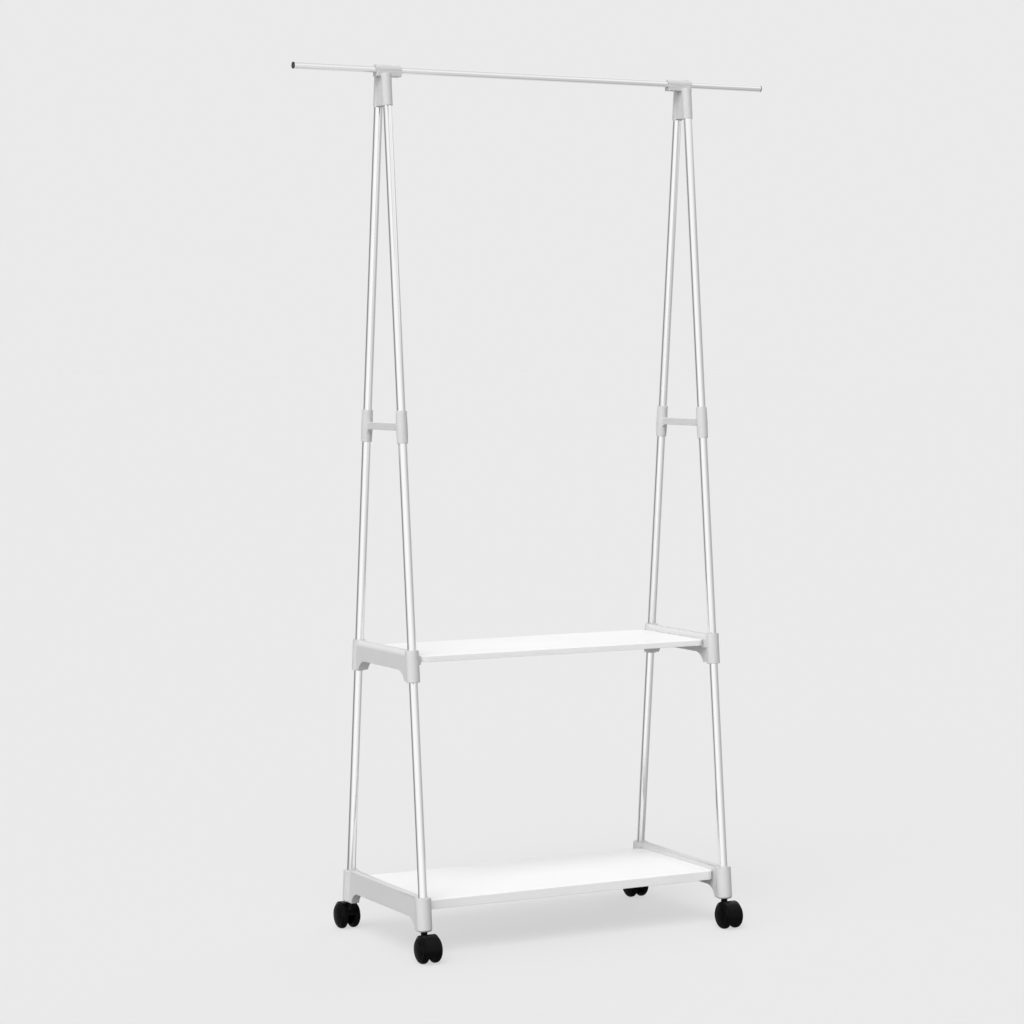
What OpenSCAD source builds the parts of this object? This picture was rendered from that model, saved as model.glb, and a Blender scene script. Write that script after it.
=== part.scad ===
// Rolling clothes rack. Two A-shaped side frames stand on twin-wheel casters and
// carry a hanging bar and two shelves. Each leg is three tubes, joined end to end
// in moulded connectors. The origin is on the floor under the middle of the rack:
// X runs along the bar, Y towards the back and Z up.

/* [Overall] */
// Distance between the middles of the two side frames
frame_spacing = 615; // [450:5:900]
// Height of the hanging bar's axis above the floor
bar_height = 1550.5; // [1250:0.5:1800]
// Distance between a side frame's two legs at the foot of its posts
foot_spread = 308; // [250:1:400]
// Distance between a side frame's two legs at the bar's height
top_spread = 25.5; // [22:0.5:36]

/* [Leg tubes] */
// Outer diameter of a leg tube
tube_d = 16; // [12:0.5:18]
// Wall of a leg tube
tube_wall = 1; // [0.8:0.1:2]
// How far a tube goes into an end panel or a brace
tube_insert = 24; // [12:1:25]
// Radial clearance of a tube in its socket
socket_clearance = 0.05; // [0.02:0.01:0.2]

/* [Hanging bar] */
// Length of the bar's tube
bar_length = 955; // [760:5:1200]
// Outer diameter of the bar
bar_d = 12; // [10:0.5:14]
// Wall of the bar
bar_wall = 1; // [0.8:0.1:2]
// Radial clearance of the bar in the top connectors
bar_clearance = 0.1; // [0.05:0.05:0.3]
// Thickness of an end plug's face
plug_face = 1.5; // [1:0.5:4]
// Length of an end plug inside the bar
plug_depth = 14; // [8:1:30]

/* [Top connectors] */
// Wall of the sleeve around the bar
sleeve_wall = 2.5; // [2:0.1:5]
// Reach of the sleeve outwards from the side frame
sleeve_out = 16; // [12:1:40]
// Reach of the sleeve inwards from the side frame
sleeve_in = 34; // [20:1:60]
// Width of the saddle under the sleeve, front to back
saddle_w = 19; // [18:0.5:26]
// Depth of the saddle's underside below the bar's axis
saddle_drop = 12; // [11:0.5:16]
// Depth of the leg sockets' mouths below the bar's axis
socket_drop = 64; // [50:1:100]
// Wall of the leg sockets
socket_wall = 1.2; // [1:0.1:3]
// Thickness of the web between the two leg sockets
socket_web = 14; // [4:1:16]

/* [Braces] */
// Height of a brace's crossbar above the floor
brace_height = 925.5; // [750:0.5:1100]
// Length of a brace's sleeves along the leg
brace_sleeve = 57; // [54:1:80]
// Wall of a brace's sleeve at its ends
brace_end_wall = 1.6; // [1.2:0.1:3]
// Wall of a brace's sleeve at its middle
brace_mid_wall = 2.3; // [1.2:0.1:4]
// Height of the crossbar
crossbar_h = 12.5; // [10:0.5:20]
// Thickness of the crossbar
crossbar_t = 8; // [6:0.5:14]
// Radius of the corners between the crossbar and the sleeves
crossbar_fillet = 8; // [4:0.5:12]

/* [Middle end panels] */
// Height of the middle panel posts' tops above the floor
middle_top = 538; // [420:1:700]
// Height of the middle panel's posts
middle_post_h = 55.5; // [54:0.5:80]
// Diameter of the middle panel's posts
middle_post_d = 24; // [22:0.5:30]
// Drop from the posts' tops to the web's ridge
middle_ridge_drop = 1.5; // [1:0.5:4]
// Radius of the web's rounded upper edge on the outside
middle_edge_r = 10; // [4:0.5:12]
// Drop from the posts' tops to the web's underside
middle_web_drop = 36.5; // [34:0.5:42]
// Radius of the arches between the web and the posts
middle_arch_r = 31; // [22:0.5:34]
// Distance from a leg's axis to the arch's end at the post's foot
middle_arch_end = 17.5; // [14:0.5:22]
// Distance of the outer wall from the middle of the side frame
middle_outer = 9; // [7:0.5:10]
// Distance of the ridge's inner face from the middle of the side frame
middle_ridge_in = 6; // [4:0.5:10]
// Distance of the step beside the shelf's end from the middle of the side frame
middle_step_in = 17; // [13:0.5:24]
// Height of that step above the shelf's top
step_rise = 1.5; // [0.5:0.5:4]
// Distance of the ledge's edge from the middle of the side frame
middle_ledge_reach = 28; // [22:0.5:36]
// Thickness of the ledge under a shelf's end
ledge_t = 4; // [3:0.5:8]
// Distance of the ledge's ends from the shelf's front and back edges
ledge_setback = 36; // [8:1:60]

/* [Bottom end panels] */
// Height of the posts' feet above the floor
post_foot = 52.5; // [52.5:0.5:70]
// Height of the bottom panel's posts
bottom_post_h = 58; // [57:0.5:70]
// Diameter of the bottom panel's posts
bottom_post_d = 28; // [25:0.5:34]
// Thickness of the bottom panel's web
bottom_web_t = 16; // [14:0.5:24]
// Drop from the posts' tops to the web's top
bottom_ridge_drop = 1; // [0.5:0.5:4]
// Drop from the posts' tops to the web's underside
bottom_web_drop = 38.5; // [34:0.5:40]
// Distance of the ledge's edge from the middle of the side frame
bottom_ledge_reach = 28; // [22:0.5:40]
// Radius of the arches between the web and the posts
bottom_arch_r = 28; // [20:0.5:32]
// Distance from a leg's axis to the arch's end at the post's foot
bottom_arch_end = 22; // [16:0.5:26]
// Rounding of the posts' feet
foot_round = 4; // [1:0.5:4]

/* [Shelves] */
// Height of the lower shelf's top above the floor
lower_top = 101; // [98:0.5:104]
// Thickness of the lower shelf
lower_t = 16; // [10:0.5:18]
// Depth of the lower shelf, front to back
lower_depth = 264; // [200:1:266]
// Height of the middle shelf's top above the floor
middle_shelf_top = 526.5; // [524:0.5:529]
// Thickness of the middle shelf
middle_t = 10; // [8:0.5:14]
// Depth of the middle shelf, front to back
middle_depth = 222; // [180:1:226]
// Radius of a shelf's corners
shelf_corner_r = 14; // [6:0.5:30]
// Thickness of a shelf's sheet
sheet_t = 1.5; // [0.8:0.1:3]
// Clearance between a shelf and the end panels
shelf_clearance = 0.3; // [0.1:0.1:0.5]

/* [Casters] */
// Diameter of a caster wheel
wheel_d = 48; // [46:0.5:50]
// Width of one wheel
wheel_w = 14.6; // [13:0.2:16]
// Gap between the two wheels of a caster
wheel_gap = 12.4; // [11:0.1:13]
// Distance from a caster's stem to its axle, front to back
trail = 16; // [14:0.5:20]
// Diameter of a wheel's axle
axle_d = 6; // [5:0.5:7]
// Diameter of a caster's stem
stem_d = 8; // [7:0.1:8.2]
// Wall of the sleeve that holds the stem
stem_sleeve_wall = 1.4; // [1:0.1:2]
// Length of the sleeve inside the post
stem_sleeve_h = 27; // [20:1:28]
// Thickness of a caster's hood
hood_t = 1.3; // [1:0.1:1.6]
// Width of a caster's hood
hood_w = 28; // [24:0.5:32]
// Radial clearance of the stems and wheels on their pins
running_clearance = 0.08; // [0.05:0.01:0.1]

/* [Hidden] */
$fn = 96;

// A cut runs this far past the faces that it opens.
past = 1;
left = -1;
right = 1;
front = -1;
back = 1;
inner = 1;
outer = -1;

chrome = [0.86, 0.87, 0.88];
white_paint = [0.96, 0.96, 0.96];
grey_plastic = [0.78, 0.78, 0.78];
dark_plastic = [0.30, 0.30, 0.31];
black_plastic = [0.08, 0.08, 0.08];
steel = [0.72, 0.73, 0.75];

// The legs lean together towards the bar.
lean = atan((foot_spread - top_spread) / 2 / (bar_height - post_foot));

// Distance of a leg's axis from the middle of its side frame, at height z.
function leg_y(z) = foot_spread / 2 - (z - post_foot) * tan(lean);

// Length along a leg from the foot of its post up to height z.
function along(z) = (z - post_foot) / cos(lean);

bottom_top = post_foot + bottom_post_h;
middle_foot = middle_top - middle_post_h;
brace_foot = brace_height - brace_sleeve / 2;
brace_top = brace_height + brace_sleeve / 2;
socket_mouth = bar_height - socket_drop;
socket_d = tube_d + 2 * (socket_clearance + socket_wall);
bore_d = tube_d + 2 * socket_clearance;
sleeve_bore_d = bar_d + 2 * bar_clearance;
sleeve_d = sleeve_bore_d + 2 * sleeve_wall;
// The saddle stops this far short of the sleeve's ends.
saddle_inset = 1.5;
// The saddle's top stands this far below the bar's axis, inside the sleeve's wall.
saddle_top_drop = 3;
// The web between the leg sockets starts this far above their mouths.
socket_web_rise = 1;
// A leg tube ends in its top socket this far below the bar's axis.
top_stop_drop = saddle_drop + 5;
// The leg sockets' closed tops stand this far below the bar's axis.
socket_cap_drop = 8;

// The middle posts' lower edges are hardly rounded.
post_edge_r = 1;
// The corners beside a post's foot start this far above the foot.
bottom_corner_rise = 1;
middle_corner_rise = 3;
// A corner's block runs on this far above the web's underside.
corner_run = 6;
// An arch's arc is sunk this far into the underside that it joins.
arch_bite = 0.05;

// Distance of the middle web's inner wall from the middle of the side frame.
middle_inner = middle_post_d / 2 - 1;
shelf_reach_middle = middle_step_in + shelf_clearance;
shelf_reach_lower = bottom_web_t / 2 + shelf_clearance;
middle_length = frame_spacing - 2 * shelf_reach_middle;
lower_length = frame_spacing - 2 * shelf_reach_lower;

// The stem stands upright in the leaning post, centred half way up its sleeve.
stem_y = leg_y(post_foot + stem_sleeve_h / 2);
stem_sleeve_d = stem_d + 2 * (running_clearance + stem_sleeve_wall);
// The sleeve ends in a flange under the post: its rim stands out this far.
flange_rim = 1.75;
flange_t = 2;
flange_d = stem_sleeve_d + 2 * flange_rim;
flange_seat = post_foot + flange_t / 2;
// Gap between the sleeve's flange and the top of the caster's neck.
swivel_gap = 0.3;
neck_top = flange_seat - flange_t - swivel_gap;
wheel_r = wheel_d / 2;
// Gap between a wheel's tread and the hood over it.
hood_gap = 0.4;
hood_r = wheel_r + hood_gap + hood_t;
// The hood starts this many degrees above the axle's level on the stem's side.
hood_start = 10;
// The hood ends this many degrees below the axle's level on the trailing side.
hood_end = 28;
// Gap between a wheel and the hood's middle plate, and between a wheel and the neck.
plate_gap = 1;
neck_gap = 0.4;
neck_d = wheel_gap - 2 * neck_gap;
// The neck starts this far above the axle's level.
neck_rise = 2;
// Wall of a wheel's hub and of the hood's own hub around the axle.
hub_wall = 3.5;
hub_d = axle_d + 2 * hub_wall;
// The axle stops this far short of a wheel's outer face, and the hub's bore goes on
// past its end.
axle_stop = 5;
axle_end_gap = 0.5;
axle_l = wheel_gap + 2 * (wheel_w - axle_stop);
// Clearance of a pin that is pressed into its own caster's hood.
press_clearance = 0.02;

// Places a side frame's part: +X of the part points towards the rack's middle.
module in_frame(end) {
    translate([end * frame_spacing / 2, 0, 0])
        if (end == right) mirror([1, 0, 0]) children();
        else children();
}

// Places a part that is drawn on the back leg at the front or the back leg.
module at_side(side) {
    if (side == front) mirror([0, 1, 0]) children();
    else children();
}

// Repeats a part that is drawn on the back leg on both legs of a frame.
module both_sides() {
    children();
    mirror([0, 1, 0]) children();
}

// Lets Z run up the back leg's axis, from the foot of its post.
module up_leg() {
    translate([0, foot_spread / 2, post_foot]) rotate([lean, 0, 0]) children();
}

// A plate between two X positions. Its children are its outline in Y and Z.
module side_plate(low_x, high_x) {
    translate([low_x, 0, 0]) rotate([90, 0, 90]) linear_extrude(high_x - low_x) children();
}

// Repeats an outline that is drawn at the back leg at both legs of a frame.
module both_outlines() {
    children();
    mirror([1, 0]) children();
}

// A round bar along X.
module x_cylinder(r, low_x, high_x) {
    translate([low_x, 0, 0]) rotate([0, 90, 0]) cylinder(r = r, h = high_x - low_x);
}

// The upright band between a frame's two leg axes, from one height to another.
module web_outline(low, high) {
    polygon([
        [-leg_y(low), low], [leg_y(low), low], [leg_y(high), high], [-leg_y(high), high]
    ]);
}

// The fillet between a level underside and the back leg's sleeve below it, whose side
// stands sleeve_r away from the leg's axis.
module fillet_outline(under, sleeve_r, r) {
    center_z = under - r + arch_bite;
    center_y = leg_y(center_z) - (sleeve_r + r) / cos(lean);
    difference() {
        polygon([
            [center_y, under + past], [leg_y(under + past), under + past],
            [leg_y(center_z), center_z], [center_y, center_z]
        ]);
        translate([center_y, center_z]) circle(r);
    }
}

// The corner between a web's underside and the back post's foot: a block that leans
// with the leg, cut to the arch. The arch's arc starts level under the web and ends at
// the foot, end_reach away from the leg's axis. It is sunk a little into the web, so
// that it meets the underside at a slight angle.
module arch_outline(under, foot, rise, end_reach, r) {
    center_z = under - r + arch_bite;
    center_y = leg_y(foot) - end_reach - sqrt(r * r - (foot - center_z) * (foot - center_z));
    block_w = leg_y(under) - center_y;
    difference() {
        translate([foot_spread / 2, post_foot]) rotate(lean)
            translate([-block_w, along(foot) + rise])
                square([block_w, along(under) - along(foot) - rise + corner_run]);
        translate([center_y, center_z]) circle(r);
    }
}

// A leaning round post with its foot rounded.
module post(d, foot, top, foot_r) {
    up_leg() translate([0, 0, along(foot)]) rotate_extrude() {
        translate([0, foot_r]) square([d / 2, along(top) - along(foot) - foot_r]);
        square([d / 2 - foot_r, foot_r + past]);
        intersection() {
            translate([d / 2 - foot_r, foot_r]) circle(foot_r);
            square([d / 2, 2 * foot_r]);
        }
    }
}

// A leg tube's socket in a leaning post, between two heights.
module leg_bore(low, high) {
    up_leg() translate([0, 0, along(low)]) cylinder(d = bore_d, h = along(high) - along(low));
}

module leg_tube(end, side, low, high) {
    color(chrome) in_frame(end) at_side(side) up_leg() translate([0, 0, along(low)])
        difference() {
            tube_l = along(high) - along(low);
            cylinder(d = tube_d, h = tube_l);
            translate([0, 0, -past]) cylinder(d = tube_d - 2 * tube_wall, h = tube_l + 2 * past);
        }
}

module lower_leg(end, side) {
    leg_tube(end, side, bottom_top - tube_insert, middle_foot + tube_insert);
}

module middle_leg(end, side) {
    leg_tube(end, side, middle_top - tube_insert, brace_foot + tube_insert);
}

module upper_leg(end, side) {
    leg_tube(end, side, brace_top - tube_insert, bar_height - top_stop_drop);
}

module hanging_bar() {
    color(chrome) translate([0, 0, bar_height]) difference() {
        x_cylinder(bar_d / 2, -bar_length / 2, bar_length / 2);
        x_cylinder(bar_d / 2 - bar_wall, -bar_length / 2 - past, bar_length / 2 + past);
    }
}

module bar_plug(end) {
    color(dark_plastic) translate([end * bar_length / 2, 0, bar_height])
        rotate([0, end * 90, 0]) {
            cylinder(d = bar_d, h = plug_face);
            translate([0, 0, -plug_depth])
                cylinder(d = bar_d - 2 * (bar_wall + socket_clearance), h = plug_depth + past);
        }
}

// The sleeve for the bar, the saddle under it and the two leg sockets.
module top_connector(end) {
    saddle_l = sleeve_out + sleeve_in - 2 * saddle_inset;
    color(grey_plastic) in_frame(end) difference() {
        union() {
            translate([0, 0, bar_height]) x_cylinder(sleeve_d / 2, -sleeve_out, sleeve_in);
            translate([-sleeve_out + saddle_inset, -saddle_w / 2, bar_height - saddle_drop])
                cube([saddle_l, saddle_w, saddle_drop - saddle_top_drop]);
            both_sides() up_leg() translate([0, 0, along(socket_mouth)])
                cylinder(d = socket_d, h = along(bar_height - socket_cap_drop) - along(socket_mouth));
            side_plate(-socket_web / 2, socket_web / 2)
                web_outline(socket_mouth + socket_web_rise, bar_height - saddle_drop + past);
        }
        translate([0, 0, bar_height])
            x_cylinder(sleeve_bore_d / 2, -sleeve_out - past, sleeve_in + past);
        both_sides() leg_bore(socket_mouth - past, bar_height - top_stop_drop);
    }
}

// Two barrel-shaped sleeves and the crossbar between them.
module brace(end) {
    sleeve_l = along(brace_top) - along(brace_foot);
    end_r = bore_d / 2 + brace_end_wall;
    mid_r = bore_d / 2 + brace_mid_wall;
    bar_low = brace_height - crossbar_h / 2;
    bar_high = brace_height + crossbar_h / 2;
    color(grey_plastic) in_frame(end) difference() {
        union() {
            both_sides() up_leg() translate([0, 0, along(brace_foot)]) {
                cylinder(r1 = end_r, r2 = mid_r, h = sleeve_l / 2);
                translate([0, 0, sleeve_l / 2]) cylinder(r1 = mid_r, r2 = end_r, h = sleeve_l / 2);
            }
            side_plate(-crossbar_t / 2, crossbar_t / 2) {
                web_outline(bar_low, bar_high);
                both_outlines() fillet_outline(bar_low, end_r, crossbar_fillet);
            }
        }
        both_sides() leg_bore(brace_foot - past, brace_foot + tube_insert);
        both_sides() leg_bore(brace_top - tube_insert, brace_top + past);
    }
}

// The middle panel in section: upright outside with a rounded upper edge, and with a
// step inside that stands out over the ledge and ends beside the shelf.
module middle_section(low, ridge, step, ledge_low) {
    translate([-middle_outer, low])
        square([middle_outer + middle_ridge_in, ridge - low - middle_edge_r]);
    translate([-middle_outer + middle_edge_r, low])
        square([middle_outer + middle_ridge_in - middle_edge_r, ridge - low]);
    translate([-middle_outer + middle_edge_r, ridge - middle_edge_r]) circle(middle_edge_r);
    translate([0, low]) square([middle_inner, step - low]);
    translate([0, ledge_low]) square([middle_step_in, step - ledge_low]);
}

// Two posts, the web between them and the ledge that carries the shelf's end.
module middle_end_panel(end) {
    web_low = middle_top - middle_web_drop;
    ridge = middle_top - middle_ridge_drop;
    ledge_low = middle_shelf_top - middle_t - ledge_t;
    ledge_y = middle_depth / 2 - ledge_setback;
    step = middle_shelf_top + step_rise;
    color(grey_plastic) in_frame(end) difference() {
        union() {
            both_sides() post(middle_post_d, middle_foot, middle_top, post_edge_r);
            intersection() {
                side_plate(-middle_outer - past, middle_step_in + past) {
                    web_outline(web_low, ridge + past);
                    both_outlines() arch_outline(web_low, middle_foot, middle_corner_rise,
                        middle_arch_end, middle_arch_r);
                }
                translate([0, foot_spread / 2, 0]) rotate([90, 0, 0])
                    linear_extrude(foot_spread) middle_section(middle_foot, ridge, step, ledge_low);
            }
            translate([middle_step_in - past, -ledge_y, ledge_low])
                cube([middle_ledge_reach - middle_step_in + past, 2 * ledge_y, ledge_t]);
        }
        both_sides() leg_bore(middle_foot - past, middle_foot + tube_insert);
        both_sides() leg_bore(middle_top - tube_insert, middle_top + past);
    }
}

// Two posts for the casters, the arched web between them and the shelf's ledge.
module bottom_end_panel(end) {
    web_low = bottom_top - bottom_web_drop;
    ridge = bottom_top - bottom_ridge_drop;
    half_t = bottom_web_t / 2;
    ledge_top = lower_top - lower_t;
    ledge_y = lower_depth / 2 - ledge_setback;
    color(grey_plastic) in_frame(end) difference() {
        union() {
            both_sides() post(bottom_post_d, post_foot, bottom_top, foot_round);
            side_plate(-half_t, half_t) {
                web_outline(web_low, ridge);
                both_outlines() arch_outline(web_low, post_foot, bottom_corner_rise,
                    bottom_arch_end, bottom_arch_r);
            }
            translate([0, -ledge_y, ledge_top - ledge_t])
                cube([bottom_ledge_reach, 2 * ledge_y, ledge_t]);
        }
        both_sides() leg_bore(bottom_top - tube_insert, bottom_top + past);
        both_sides() translate([0, stem_y, 0]) {
            translate([0, 0, post_foot - past])
                cylinder(d = stem_sleeve_d + 2 * socket_clearance, h = stem_sleeve_h + past);
            translate([0, 0, flange_seat - bottom_post_d])
                cylinder(d = flange_d + 2 * bar_clearance, h = bottom_post_d);
        }
    }
}

// A slab with round corners, its top at height zero.
module rounded_slab(length, depth, r, h) {
    translate([0, 0, -h]) linear_extrude(h) {
        square([length - 2 * r, depth], center = true);
        square([length, depth - 2 * r], center = true);
        for (x = [-1, 1], y = [-1, 1])
            translate([x * (length / 2 - r), y * (depth / 2 - r)]) circle(r);
    }
}

// A shelf is a sheet whose four edges are turned down.
module shelf(length, depth, top, t) {
    color(white_paint) translate([0, 0, top]) difference() {
        rounded_slab(length, depth, shelf_corner_r, t);
        translate([0, 0, -sheet_t])
            rounded_slab(length - 2 * sheet_t, depth - 2 * sheet_t, shelf_corner_r - sheet_t, t);
    }
}

module middle_shelf() {
    shelf(middle_length, middle_depth, middle_shelf_top, middle_t);
}

module lower_shelf() {
    shelf(lower_length, lower_depth, lower_top, lower_t);
}

// Places a caster's part: the stem is its Z axis and its wheels trail towards its +Y.
// A front caster is turned half round, so that every caster trails away from the
// rack's middle.
module at_caster(end, side) {
    translate([end * frame_spacing / 2, side * stem_y, 0])
        rotate([0, 0, side == front ? 180 : 0]) children();
}

module stem_sleeve(end, side) {
    color(dark_plastic) at_caster(end, side) difference() {
        union() {
            translate([0, 0, flange_seat]) cylinder(d = stem_sleeve_d, h = stem_sleeve_h - flange_t);
            translate([0, 0, flange_seat - flange_t]) cylinder(d = flange_d, h = flange_t);
        }
        translate([0, 0, flange_seat - flange_t - past])
            cylinder(d = stem_d + 2 * running_clearance, h = stem_sleeve_h + 2 * past);
    }
}

module caster_stem(end, side) {
    stem_low = wheel_r + hub_d / 2;
    color(steel) at_caster(end, side) translate([0, 0, stem_low])
        cylinder(d = stem_d, h = flange_seat + stem_sleeve_h - 2 * flange_t - stem_low);
}

// The part of the YZ plane that the hood covers, seen from the axle: from the stem's
// side, over the top, to below the axle on the trailing side.
module hood_sector(low_x, high_x) {
    far = 2 * hood_r;
    side_plate(low_x, high_x) polygon([
        [0, 0], [-far, far * tan(hood_start)], [-far, far], [far, far],
        [far, -far * tan(hood_end)]
    ]);
}

module caster_hood(end, side) {
    plate_t = wheel_gap - 2 * plate_gap;
    neck_low = wheel_r + neck_rise;
    color(black_plastic) at_caster(end, side) difference() {
        union() {
            translate([0, trail, wheel_r]) {
                intersection() {
                    difference() {
                        x_cylinder(hood_r, -hood_w / 2, hood_w / 2);
                        x_cylinder(hood_r - hood_t, -hood_w, hood_w);
                    }
                    hood_sector(-hood_w, hood_w);
                }
                intersection() {
                    x_cylinder(hood_r - hood_t / 2, -plate_t / 2, plate_t / 2);
                    hood_sector(-plate_t, plate_t);
                }
                x_cylinder(hub_d / 2, -plate_t / 2, plate_t / 2);
            }
            translate([0, 0, neck_low]) cylinder(d = neck_d, h = neck_top - neck_low);
        }
        translate([0, 0, wheel_r + hub_d / 2])
            cylinder(d = stem_d + 2 * press_clearance, h = wheel_d);
        translate([0, trail, wheel_r])
            x_cylinder(axle_d / 2 + press_clearance, -wheel_gap, wheel_gap);
    }
}

module caster_axle(end, side) {
    color(steel) at_caster(end, side) translate([0, trail, wheel_r])
        x_cylinder(axle_d / 2, -axle_l / 2, axle_l / 2);
}

// One wheel: a hub and a rim under a domed outer disc. The inner wheel is the one
// nearer to the rack's middle.
module caster_wheel(end, side, place) {
    dir = -place * end * side;
    tread_round = 4;
    shoulder_r = 6;
    disc_t = 4.5;
    dome_h = 2.5;
    dome_r = (wheel_r - shoulder_r) * (wheel_r - shoulder_r) / 2 / dome_h + dome_h / 2;
    flat_w = wheel_w - dome_h;
    color(black_plastic) at_caster(end, side) translate([dir * wheel_gap / 2, trail, wheel_r])
        rotate([0, dir * 90, 0]) rotate_extrude() difference() {
            union() {
                square([wheel_r - tread_round, flat_w]);
                translate([0, tread_round]) square([wheel_r, flat_w - tread_round - shoulder_r]);
                square([wheel_r - shoulder_r, flat_w]);
                translate([wheel_r - tread_round, tread_round]) circle(tread_round);
                translate([wheel_r - shoulder_r, flat_w - shoulder_r]) circle(shoulder_r);
                intersection() {
                    translate([0, wheel_w - dome_r]) circle(dome_r);
                    translate([0, flat_w - past]) square([wheel_r - shoulder_r, dome_h + past]);
                }
            }
            translate([0, -past])
                square([axle_d / 2 + running_clearance, wheel_w - axle_stop + past + axle_end_gap]);
            translate([hub_d / 2, -past])
                square([wheel_r - shoulder_r - hub_d / 2, flat_w - disc_t + past]);
        }
}

hanging_bar();
bar_plug(left);  // left_bar_plug
bar_plug(right);  // right_bar_plug
top_connector(left);  // left_top_connector
top_connector(right);  // right_top_connector
brace(left);  // left_brace
brace(right);  // right_brace
middle_end_panel(left);  // left_middle_end_panel
middle_end_panel(right);  // right_middle_end_panel
bottom_end_panel(left);  // left_bottom_end_panel
bottom_end_panel(right);  // right_bottom_end_panel
middle_shelf();
lower_shelf();
upper_leg(left, front);  // left_front_upper_leg
middle_leg(left, front);  // left_front_middle_leg
lower_leg(left, front);  // left_front_lower_leg
upper_leg(left, back);  // left_back_upper_leg
middle_leg(left, back);  // left_back_middle_leg
lower_leg(left, back);  // left_back_lower_leg
upper_leg(right, front);  // right_front_upper_leg
middle_leg(right, front);  // right_front_middle_leg
lower_leg(right, front);  // right_front_lower_leg
upper_leg(right, back);  // right_back_upper_leg
middle_leg(right, back);  // right_back_middle_leg
lower_leg(right, back);  // right_back_lower_leg
stem_sleeve(left, front);  // left_front_stem_sleeve
caster_stem(left, front);  // left_front_caster_stem
caster_hood(left, front);  // left_front_caster_hood
caster_axle(left, front);  // left_front_caster_axle
caster_wheel(left, front, inner);  // left_front_inner_wheel
caster_wheel(left, front, outer);  // left_front_outer_wheel
stem_sleeve(left, back);  // left_back_stem_sleeve
caster_stem(left, back);  // left_back_caster_stem
caster_hood(left, back);  // left_back_caster_hood
caster_axle(left, back);  // left_back_caster_axle
caster_wheel(left, back, inner);  // left_back_inner_wheel
caster_wheel(left, back, outer);  // left_back_outer_wheel
stem_sleeve(right, front);  // right_front_stem_sleeve
caster_stem(right, front);  // right_front_caster_stem
caster_hood(right, front);  // right_front_caster_hood
caster_axle(right, front);  // right_front_caster_axle
caster_wheel(right, front, inner);  // right_front_inner_wheel
caster_wheel(right, front, outer);  // right_front_outer_wheel
stem_sleeve(right, back);  // right_back_stem_sleeve
caster_stem(right, back);  // right_back_caster_stem
caster_hood(right, back);  // right_back_caster_hood
caster_axle(right, back);  // right_back_caster_axle
caster_wheel(right, back, inner);  // right_back_inner_wheel
caster_wheel(right, back, outer);  // right_back_outer_wheel
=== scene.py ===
import math

import bpy
from mathutils import Matrix, Vector


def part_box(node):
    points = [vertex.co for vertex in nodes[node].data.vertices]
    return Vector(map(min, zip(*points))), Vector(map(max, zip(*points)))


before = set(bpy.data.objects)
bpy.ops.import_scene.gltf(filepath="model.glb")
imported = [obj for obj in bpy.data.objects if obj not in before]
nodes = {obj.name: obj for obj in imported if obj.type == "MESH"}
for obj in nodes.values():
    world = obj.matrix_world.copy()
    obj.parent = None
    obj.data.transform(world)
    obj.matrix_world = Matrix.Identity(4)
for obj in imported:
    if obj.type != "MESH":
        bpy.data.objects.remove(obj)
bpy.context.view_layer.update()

scene = bpy.context.scene
scene.view_settings.view_transform = "Standard"

# ---------------------------------------------------------------- camera
# The photograph's eye point, and its view: turned to the right of the rack's front,
# a little downwards. Lengths in metres, turn and dip in degrees, roll in radians.
CAMERA_PLACE = (-2.4049, -4.4230, 1.0600)
CAMERA_TURN = -28.009
CAMERA_DIP = 3.351
CAMERA_ROLL = -0.0015
CAMERA_LENS = 97.35
CAMERA_SENSOR = 36.0
CAMERA_NEAR = 0.05
CAMERA_FAR = 400

lens = bpy.data.cameras.new("camera")
lens.sensor_width = CAMERA_SENSOR
lens.lens = CAMERA_LENS
lens.clip_start = CAMERA_NEAR
lens.clip_end = CAMERA_FAR
camera = bpy.data.objects.new("camera", lens)
scene.collection.objects.link(camera)
camera.location = CAMERA_PLACE
camera.rotation_euler = (
    Matrix.Rotation(math.radians(CAMERA_TURN), 3, "Z")
    @ Matrix.Rotation(math.radians(90 - CAMERA_DIP), 3, "X")
    @ Matrix.Rotation(CAMERA_ROLL, 3, "Z")
).to_euler()
scene.camera = camera

# ---------------------------------------------------------------- node helpers
# The mix node's colour sockets share their names with its other sockets, so they go by
# number.
MIX_COLOUR_A = 6
MIX_COLOUR_B = 7
MIX_COLOUR_OUT = 2


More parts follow.
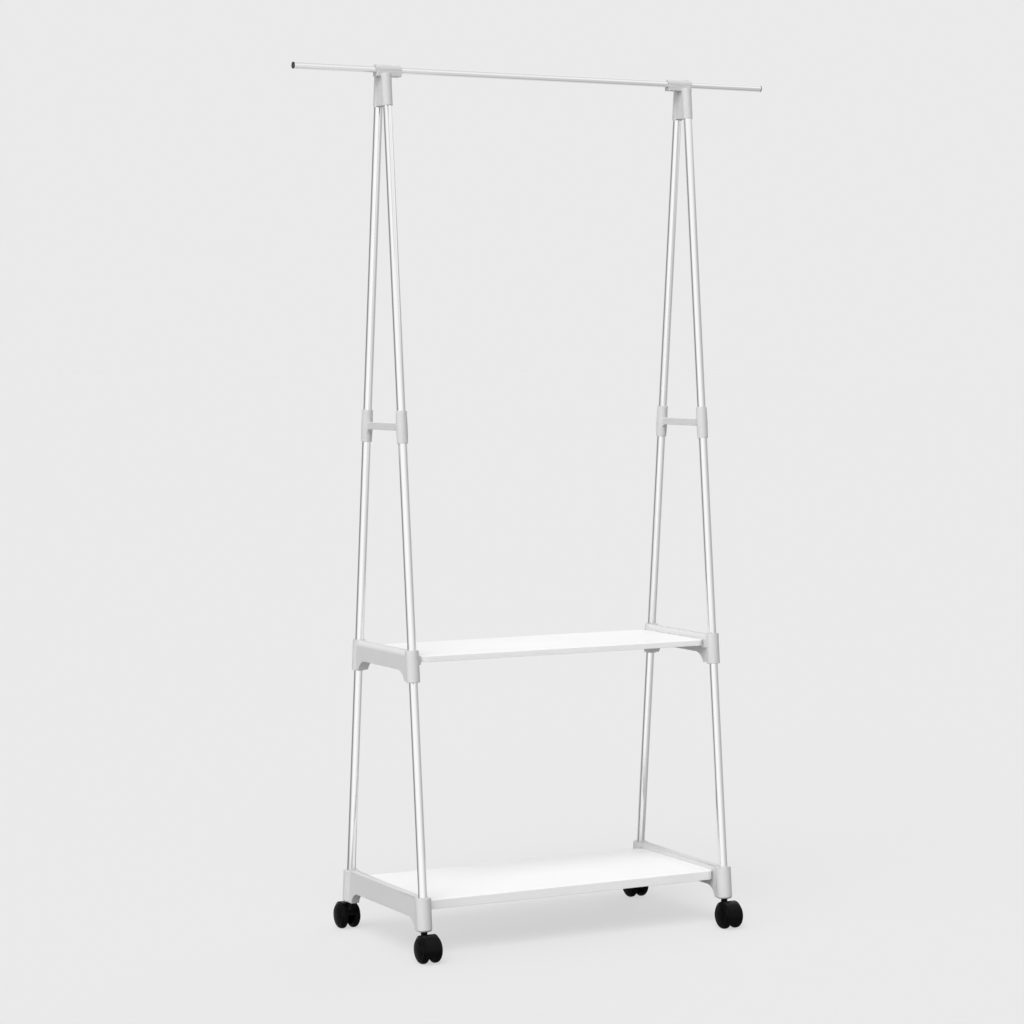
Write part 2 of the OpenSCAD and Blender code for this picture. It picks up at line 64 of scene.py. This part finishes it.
class Tree:
    """A short way to write a material's or the world's nodes."""

    def __init__(self, owner):
        owner.use_nodes = True
        self.nodes = owner.node_tree.nodes
        self.links = owner.node_tree.links
        self.nodes.clear()

    def add(self, kind, inputs=None, **settings):
        node = self.nodes.new(kind)
        for key, value in settings.items():
            setattr(node, key, value)
        for key, value in (inputs or {}).items():
            self.set(node.inputs[key], value)
        return node

    def set(self, socket, value):
        if isinstance(value, bpy.types.NodeSocket):
            self.links.new(value, socket)
        else:
            socket.default_value = value

    def show(self, shader, output="ShaderNodeOutputMaterial"):
        """Send a shader to the tree's output."""
        self.links.new(shader.outputs[0], self.add(output).inputs["Surface"])

    def place(self):
        return self.add("ShaderNodeTexCoord").outputs["Object"]

    def noise(self, vector, scale, detail=2.0, rough=0.5):
        return self.add(
            "ShaderNodeTexNoise",
            {"Vector": vector, "Scale": scale, "Detail": detail, "Roughness": rough},
        ).outputs["Fac"]

    def ramp(self, value, span, to=(0.0, 1.0)):
        """value from the span's ends to the ends of to, held beyond them."""
        return self.add(
            "ShaderNodeMapRange",
            {
                "Value": value,
                "From Min": span[0],
                "From Max": span[1],
                "To Min": to[0],
                "To Max": to[1],
            },
        ).outputs["Result"]

    def mix(self, factor, a, b):
        node = self.add("ShaderNodeMix", data_type="RGBA")
        self.set(node.inputs["Factor"], factor)
        self.set(node.inputs[MIX_COLOUR_A], a)
        self.set(node.inputs[MIX_COLOUR_B], b)
        return node.outputs[MIX_COLOUR_OUT]

    def number(self, operation, a, b=0.0):
        return self.add("ShaderNodeMath", {0: a, 1: b}, operation=operation).outputs[0]

    def vector(self, operation, a, b=(0.0, 0.0, 0.0)):
        return self.add("ShaderNodeVectorMath", {0: a, 1: b}, operation=operation).outputs

    def reach(self, place, flatten):
        """How far a place lies from the origin, once flattened."""
        flat = self.vector("MULTIPLY", place, flatten)["Vector"]
        return self.vector("LENGTH", flat)["Value"]

    def backdrop_rays(self):
        """1 for the rays that show the pale background."""
        path = self.add("ShaderNodeLightPath").outputs
        seen = self.number("MAXIMUM", path["Is Camera Ray"], path["Is Glossy Ray"])
        return self.number("MAXIMUM", seen, path["Is Transmission Ray"])

    def bump(self, height, distance):
        return self.add(
            "ShaderNodeBump", {"Height": height, "Distance": distance, "Strength": 1.0}
        ).outputs["Normal"]

    def stretch(self, vector, scale, turn=(0, 0, 0)):
        return self.add(
            "ShaderNodeMapping", {"Vector": vector, "Scale": scale, "Rotation": turn}
        ).outputs["Vector"]


def material(name):
    made = bpy.data.materials.new(name)
    return made, Tree(made)


def grey(value, warm=0.0):
    return (value * (1 + warm), value, value * (1 - warm), 1.0)


def scales(axis, along, across):
    """A scale for each of x, y and z: one along an axis, and one across it."""
    return tuple(along if number == axis else across for number in range(3))


# ---------------------------------------------------------------- materials
# Noise scales are features per metre, and bump heights are metres.
X_AXIS = 0
Z_AXIS = 2
# Where most of a noise's values lie.
NOISE_SPAN = (0.3, 0.7)

PAINT_PEEL_SCALE = 620
PAINT_GRAIN_SCALE = 2600
PAINT_GRAIN_SHARE = 0.12
PAINT_HEIGHT = 0.00003
PAINT_CLOUD_SCALE = 9
PAINT_ROUGHNESS_SPREAD = 0.07
PAINT_SPECULAR = 0.5
PAINT_SPECK_SCALE = 1500
PAINT_SPECK_SPAN = (0.76, 0.80)
PAINT_SPECK_COVER = 0.22
PAINT_SPECK_SHADE = 0.72
PAINT_SPECK_WARMTH = 0.02
PAINT_SPECK_ROUGHNESS = 0.2


def powder_coat(name, light, dark, roughness):
    """White powder coat: orange peel, faint clouding and a few dust specks."""
    made, t = material(name)
    place = t.place()
    peel = t.noise(place, PAINT_PEEL_SCALE)
    fine = t.noise(place, PAINT_GRAIN_SCALE, 1.0)
    cloud = t.noise(place, PAINT_CLOUD_SCALE, 3.0)
    specks = t.ramp(t.noise(place, PAINT_SPECK_SCALE, 1.0), PAINT_SPECK_SPAN)
    clean = t.mix(t.ramp(cloud, NOISE_SPAN), grey(dark), grey(light))
    speck = grey(light * PAINT_SPECK_SHADE, PAINT_SPECK_WARMTH)
    rough = t.ramp(cloud, NOISE_SPAN, (roughness, roughness + PAINT_ROUGHNESS_SPREAD))
    speck_cover = t.number("MULTIPLY", specks, PAINT_SPECK_COVER)
    speck_rough = t.number("MULTIPLY", specks, PAINT_SPECK_ROUGHNESS)
    height = t.number("ADD", peel, t.number("MULTIPLY", fine, PAINT_GRAIN_SHARE))
    shader = t.add(
        "ShaderNodeBsdfPrincipled",
        {
            "Base Color": t.mix(speck_cover, clean, speck),
            "Roughness": t.number("ADD", rough, speck_rough),
            "Specular IOR Level": PAINT_SPECULAR,
            "Normal": t.bump(height, PAINT_HEIGHT),
        },
    )
    t.show(shader)
    return made


CHROME_LINE_SCALE = 2400
CHROME_LINE_STRETCH = 0.02
CHROME_LINE_HEIGHT = 0.000004
CHROME_ROUGHNESS = (0.09, 0.14)
CHROME_TONE_SCALE = 7
CHROME_DARK = grey(0.82, -0.004)
CHROME_LIGHT = grey(0.86, 0.002)
CHROME_SMUDGE_SCALE = 26
CHROME_SMUDGE_BREAKUP = 0.6
CHROME_SMUDGE_SPAN = (0.45, 0.75)
CHROME_SMUDGE_ROUGHNESS = 0.07
CHROME_DUST = grey(0.62, 0.02)
CHROME_DUST_SCALE = 1700
CHROME_DUST_SPAN = (0.77, 0.81)
CHROME_DUST_COVER = 0.35
CHROME_DUST_ROUGHNESS = 0.25


def chrome(name, axis):
    """Bright plating: hair-fine polishing lines, faint smudges and specks of dust."""
    made, t = material(name)
    place = t.place()
    stretched = t.stretch(place, scales(axis, CHROME_LINE_STRETCH, 1.0))
    lines = t.noise(stretched, CHROME_LINE_SCALE)
    smudges = t.noise(place, CHROME_SMUDGE_SCALE, 4.0, CHROME_SMUDGE_BREAKUP)
    smudge = t.ramp(smudges, CHROME_SMUDGE_SPAN)
    dust = t.ramp(t.noise(place, CHROME_DUST_SCALE, 1.0), CHROME_DUST_SPAN)
    clean = t.mix(t.noise(place, CHROME_TONE_SCALE), CHROME_DARK, CHROME_LIGHT)
    dust_cover = t.number("MULTIPLY", dust, CHROME_DUST_COVER)
    dust_rough = t.number("MULTIPLY", dust, CHROME_DUST_ROUGHNESS)
    smudge_rough = t.number("MULTIPLY", smudge, CHROME_SMUDGE_ROUGHNESS)
    rough = t.number("ADD", t.ramp(lines, NOISE_SPAN, CHROME_ROUGHNESS), smudge_rough)
    shader = t.add(
        "ShaderNodeBsdfPrincipled",
        {
            "Base Color": t.mix(dust_cover, clean, CHROME_DUST),
            "Metallic": 1.0,
            "Roughness": t.number("ADD", rough, dust_rough),
            "Normal": t.bump(lines, CHROME_LINE_HEIGHT),
        },
    )
    t.show(shader)
    return made


MOULD_FINE_SCALE = 3200
MOULD_COARSE_SCALE = 1300
MOULD_COARSE_SHARE = 0.6
MOULD_GRAIN_HEIGHT = 0.00003
MOULD_FLOW_SCALE = 16
MOULD_FLOW_STRETCH = (1.0, 1.0, 0.35)
MOULD_RUB_SCALE = 420
MOULD_RUB_STRETCH = (1.0, 1.0, 0.15)
MOULD_RUB_TURN = (0.5, 0.3, 0.2)
MOULD_RUB_SPAN = (0.66, 0.74)
MOULD_RUB_POLISH = 0.06


def moulded(name, light, dark, roughness, specular):
    """Moulded plastic: a fine spark-eroded grain, slow flow marks and light rubbing."""
    made, t = material(name)
    smooth, dull = roughness
    place = t.place()
    fine = t.noise(place, MOULD_FINE_SCALE)
    coarse = t.noise(place, MOULD_COARSE_SCALE, 1.0)
    flow = t.noise(t.stretch(place, MOULD_FLOW_STRETCH), MOULD_FLOW_SCALE, 3.0)
    rubs = t.noise(t.stretch(place, MOULD_RUB_STRETCH, MOULD_RUB_TURN), MOULD_RUB_SCALE)
    polish = t.number("MULTIPLY", t.ramp(rubs, MOULD_RUB_SPAN), MOULD_RUB_POLISH)
    rough = t.ramp(flow, NOISE_SPAN, (dull, smooth))
    height = t.number("ADD", fine, t.number("MULTIPLY", coarse, MOULD_COARSE_SHARE))
    shader = t.add(
        "ShaderNodeBsdfPrincipled",
        {
            "Base Color": t.mix(t.ramp(flow, NOISE_SPAN), grey(dark), grey(light)),
            "Roughness": t.number("SUBTRACT", rough, polish),
            "Specular IOR Level": specular,
            "Normal": t.bump(height, MOULD_GRAIN_HEIGHT),
        },
    )
    t.show(shader)
    return made


WHEEL_BLACK = grey(0.002)
WHEEL_WORN = grey(0.03, 0.05)
WHEEL_WORN_COVER = 0.25
WHEEL_SPECULAR = 0.06
# How far below the rim the tread's finish starts, and is full.
WHEEL_TREAD_DEPTH = (0.0020, 0.0004)
# On the disc, and on the tread.
WHEEL_ROUGHNESS = (0.17, 0.45)
WHEEL_DUST_SCALE = 900
WHEEL_DUST_BREAKUP = 0.6
WHEEL_DUST_SPAN = (0.42, 0.68)
WHEEL_SCUFF_SCALE = 260
WHEEL_SCUFF_SPAN = (0.5, 0.75)
WHEEL_SCUFF_ROUGHNESS = 0.08
# Radians per metre.
WHEEL_RING_PITCH = 9000.0
WHEEL_RING_SHARE = 0.10
WHEEL_GRAIN_SCALE = 2400
WHEEL_HEIGHT = 0.00001


def wheel_plastic(name, centre, radius):
    """A wheel's black plastic: polished disc, turned rings and a dusty, worn tread."""
    made, t = material(name)
    place = t.place()
    arm = t.vector("SUBTRACT", place, centre)["Vector"]
    reach = t.reach(arm, (0.0, 1.0, 1.0))
    tread = t.ramp(reach, [radius - depth for depth in WHEEL_TREAD_DEPTH])
    dust_noise = t.noise(place, WHEEL_DUST_SCALE, 4.0, WHEEL_DUST_BREAKUP)
    dust = t.ramp(dust_noise, WHEEL_DUST_SPAN)
    scuff = t.ramp(t.noise(place, WHEEL_SCUFF_SCALE, 3.0), WHEEL_SCUFF_SPAN)
    worn = t.number("MULTIPLY", t.number("MULTIPLY", tread, dust), WHEEL_WORN_COVER)
    rough = t.ramp(tread, (0.0, 1.0), WHEEL_ROUGHNESS)
    scuff_rough = t.number("MULTIPLY", scuff, WHEEL_SCUFF_ROUGHNESS)
    rings = t.number("SINE", t.number("MULTIPLY", reach, WHEEL_RING_PITCH))
    fine = t.noise(place, WHEEL_GRAIN_SCALE)
    height = t.number("ADD", t.number("MULTIPLY", rings, WHEEL_RING_SHARE), fine)
    shader = t.add(
        "ShaderNodeBsdfPrincipled",
        {
            "Base Color": t.mix(worn, WHEEL_BLACK, WHEEL_WORN),
            "Roughness": t.number("ADD", rough, scuff_rough),
            "Specular IOR Level": WHEEL_SPECULAR,
            "Normal": t.bump(height, WHEEL_HEIGHT),
        },
    )
    t.show(shader)
    return made


ZINC_DARK = grey(0.52, 0.01)
ZINC_LIGHT = grey(0.66, -0.01)
ZINC_CLOUD_SCALE = 120
ZINC_LINE_SCALE = 5200
ZINC_LINE_STRETCH = 0.05
ZINC_LINE_HEIGHT = 0.00001
ZINC_ROUGHNESS = (0.24, 0.42)


def zinc(name, axis):
    """Zinc-plated steel pin, turned: fine lines round it, with clouded plating."""
    made, t = material(name)
    place = t.place()
    stretched = t.stretch(place, scales(axis, 1.0, ZINC_LINE_STRETCH))
    lines = t.noise(stretched, ZINC_LINE_SCALE)
    cloud = t.noise(place, ZINC_CLOUD_SCALE, 3.0)
    shader = t.add(
        "ShaderNodeBsdfPrincipled",
        {
            "Base Color": t.mix(cloud, ZINC_DARK, ZINC_LIGHT),
            "Metallic": 1.0,
            "Roughness": t.ramp(lines, NOISE_SPAN, ZINC_ROUGHNESS),
            "Normal": t.bump(lines, ZINC_LINE_HEIGHT),
        },
    )
    t.show(shader)
    return made


grey_moulding = moulded(
    "pale_grey_plastic", light=0.635, dark=0.62, roughness=(0.42, 0.50), specular=0.45
)
dark_moulding = moulded(
    "dark_grey_plastic", light=0.030, dark=0.026, roughness=(0.48, 0.58), specular=0.3
)
black_moulding = moulded(
    "black_hood_plastic", light=0.003, dark=0.002, roughness=(0.24, 0.34), specular=0.10
)
# The finish of each kind of piece, by the last word of its name. The wheels come later.
FINISHES = {
    "bar": chrome("bar_chrome", X_AXIS),
    "leg": chrome("leg_chrome", Z_AXIS),
    "shelf": powder_coat("shelf_powder_coat", light=0.91, dark=0.895, roughness=0.36),
    "connector": grey_moulding,
    "brace": grey_moulding,
    "panel": grey_moulding,
    "plug": dark_moulding,
    "sleeve": dark_moulding,
    "hood": black_moulding,
    "stem": zinc("zinc_stem", Z_AXIS),
    "axle": zinc("zinc_axle", X_AXIS),
}

# The width in metres of the rounded edges that moulding and folding leave. A hood's are
# finer, so that its inner corners stay clear of the wheels.
EDGE_WIDTHS = {
    "connector": 0.0006,
    "brace": 0.0006,
    "panel": 0.0006,
    "shelf": 0.0006,
    "sleeve": 0.0006,
    "hood": 0.0003,
}
EDGE_SEGMENTS = 2
EDGE_ANGLE = 60
WELD_REACH = 0.00001


def weld(part, name):
    part.modifiers.new(name, "WELD").merge_threshold = WELD_REACH


def round_edges(part, width):
    edges = part.modifiers.new("rounded_edges", "BEVEL")
    edges.width = width
    edges.segments = EDGE_SEGMENTS
    edges.limit_method = "ANGLE"
    edges.angle_limit = math.radians(EDGE_ANGLE)
    edges.use_clamp_overlap = False
    weld(part, "weld_again")
    part.modifiers.new("weights", "WEIGHTED_NORMAL").keep_sharp = True


for name, part in nodes.items():
    kind = name.rsplit("_", 1)[1]
    if kind == "wheel":
        low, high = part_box(name)
        finish = wheel_plastic(name + "_plastic", (low + high) / 2, (high.z - low.z) / 2)
    else:
        finish = FINISHES[kind]
    part.data.materials.clear()
    part.data.materials.append(finish)
    weld(part, "weld")
    if kind in EDGE_WIDTHS:
        round_edges(part, EDGE_WIDTHS[kind])

# ---------------------------------------------------------------- light and floor
PALE = 0.8228
FILL_STRENGTH = 0.37

world = bpy.data.worlds.new("studio")
scene.world = world
sky = Tree(world)
fill = sky.add("ShaderNodeBackground", {"Color": grey(1.0), "Strength": FILL_STRENGTH})
backdrop = sky.add("ShaderNodeBackground", {"Color": grey(PALE), "Strength": 1.0})
sky.show(
    sky.add(
        "ShaderNodeMixShader",
        {0: sky.backdrop_rays(), 1: fill.outputs[0], 2: backdrop.outputs[0]},
    ),
    "ShaderNodeOutputWorld",
)

# Soft lamps far away: strength, azimuth, elevation and spread. Azimuth 0 is in front of the
# rack, 90 on its left.
LAMPS = {
    "key_lamp": (0.74, 38, 50, 40),
    "side_lamp": (0.38, 80, 8, 40),
    "back_lamp": (0.42, -125, 7, 50),
}

for name, (strength, azimuth, elevation, spread) in LAMPS.items():
    lamp = bpy.data.lights.new(name, "SUN")
    lamp.energy = strength * math.pi
    lamp.angle = math.radians(spread)
    holder = bpy.data.objects.new(name, lamp)
    scene.collection.objects.link(holder)
    a, e = math.radians(azimuth), math.radians(elevation)
    towards = Vector((-math.sin(a) * math.cos(e), -math.cos(a) * math.cos(e), math.sin(e)))
    holder.rotation_euler = towards.to_track_quat("Z", "Y").to_euler()
    holder.visible_glossy = False


def surface(name, look_name, points, faces):
    """A plain mesh object, and its material's nodes."""
    mesh = bpy.data.meshes.new(name)
    mesh.from_pydata(points, [], faces)
    made = bpy.data.objects.new(name, mesh)
    scene.collection.objects.link(made)
    look, tree = material(look_name)
    mesh.materials.append(look)
    return made, tree


# The floor is plain grey to the light that falls from it on the rack, and pale to the rays
# that show the background: FLOOR_GLOW of that comes from glow, the rest keeps the shadow.
FLOOR_REACH = 120.0
FLOOR_BOUNCE = 0.35
FLOOR_SEEN = 0.77
FLOOR_GLOW = 0.70

floor, t = surface(
    "floor",
    "floor_paint",
    [
        (-FLOOR_REACH, -FLOOR_REACH, 0),
        (FLOOR_REACH, -FLOOR_REACH, 0),
        (FLOOR_REACH, FLOOR_REACH, 0),
        (-FLOOR_REACH, FLOOR_REACH, 0),
    ],
    [(0, 1, 2, 3)],
)
direct = t.backdrop_rays()
dull = t.mix(direct, grey(FLOOR_BOUNCE), grey(FLOOR_SEEN))
lit = t.add("ShaderNodeBsdfDiffuse", {"Color": dull})
glow = t.add("ShaderNodeEmission", {"Color": grey(PALE), "Strength": 1.0})
share = t.number("MULTIPLY", direct, FLOOR_GLOW)
t.show(t.add("ShaderNodeMixShader", {0: share, 1: lit.outputs[0], 2: glow.outputs[0]}))

# Painted reflections: a glowing ring, seen only in reflections and lighting nothing, stands
# for the studio's soft boxes and the dark gaps between them, which the chrome and the
# plastics mirror. Azimuth in degrees as for the lamps, and brightness.
STUDIO = (
    (-180, 0.82), (-115, 0.82), (-98, 0.50), (-90, 0.45), (-75, 0.48), (-42, 0.64),
    (-13, 0.89), (0, 1.00), (14, 1.07), (30, 1.14), (65, 1.14), (85, 1.05), (100, 0.75),
    (112, 0.32), (145, 0.28), (158, 0.60), (170, 0.82), (180, 0.82),
)
# The ramp's colours stop at 1, so they are this much darker, and the emission brighter.
STUDIO_TOP = 1.2
STUDIO_SIDES = 72
# Radius and height of the studio's ring: a floor under the rack, then an upright wall.
STUDIO_RINGS = ((0.01, 0.002), (3.0, 0.002), (3.0, 5.0))
# The ceiling's light takes over between these heights.
CEILING_SPAN = (1.75, 2.40)
CEILING_LIGHT = 1.06
# Painted shadow: the ring's floor under the rack glows darker, as in the rack's shadow,
# fading between these radii.
SHADOW_SPAN = (0.40, 0.62)
SHADOW_LIGHT = 0.30
HIDDEN_FROM = ("camera", "diffuse", "transmission", "shadow", "volume_scatter")

turns = [math.tau * i / STUDIO_SIDES for i in range(STUDIO_SIDES)]
wall, t = surface(
    "studio_wall",
    "studio_wall",
    [
        (radius * math.cos(turn), radius * math.sin(turn), height)
        for radius, height in STUDIO_RINGS
        for turn in turns
    ],
    [
        (row + i, row + j, row + STUDIO_SIDES + j, row + STUDIO_SIDES + i)
        for row in range(0, STUDIO_SIDES * (len(STUDIO_RINGS) - 1), STUDIO_SIDES)
        for i, j in zip(range(STUDIO_SIDES), [*range(1, STUDIO_SIDES), 0])
    ],
)
# Seen by glossy rays alone, so the ring's glow is painted reflection only and lights
# nothing.
for rays in HIDDEN_FROM:
    setattr(wall, "visible_" + rays, False)

place = t.place()
x, y, z = t.add("ShaderNodeSeparateXYZ", {0: place}).outputs
bearing = t.number("ARCTAN2", t.number("MULTIPLY", x, -1.0), t.number("MULTIPLY", y, -1.0))
around = t.add("ShaderNodeValToRGB", {0: t.ramp(bearing, (-math.pi, math.pi))})
stops = around.color_ramp.elements
for index, (degrees, brightness) in enumerate(STUDIO):
    spot = (degrees + 180) / 360
    # A new ramp has two stops already.
    stop = stops[index] if index < 2 else stops.new(spot)
    stop.position = spot
    stop.color = grey(brightness / STUDIO_TOP)
above = t.ramp(z, CEILING_SPAN)
shade = t.mix(above, around.outputs[0], grey(CEILING_LIGHT / STUDIO_TOP))
# Painted shadow of the rack, darkening the ring's floor seen in reflections.
under = t.ramp(t.reach(place, (1.0, 1.0, 0.0)), SHADOW_SPAN, (1.0, 0.0))
shade = t.mix(under, shade, grey(SHADOW_LIGHT / STUDIO_TOP))
t.show(t.add("ShaderNodeEmission", {"Color": shade, "Strength": STUDIO_TOP}))
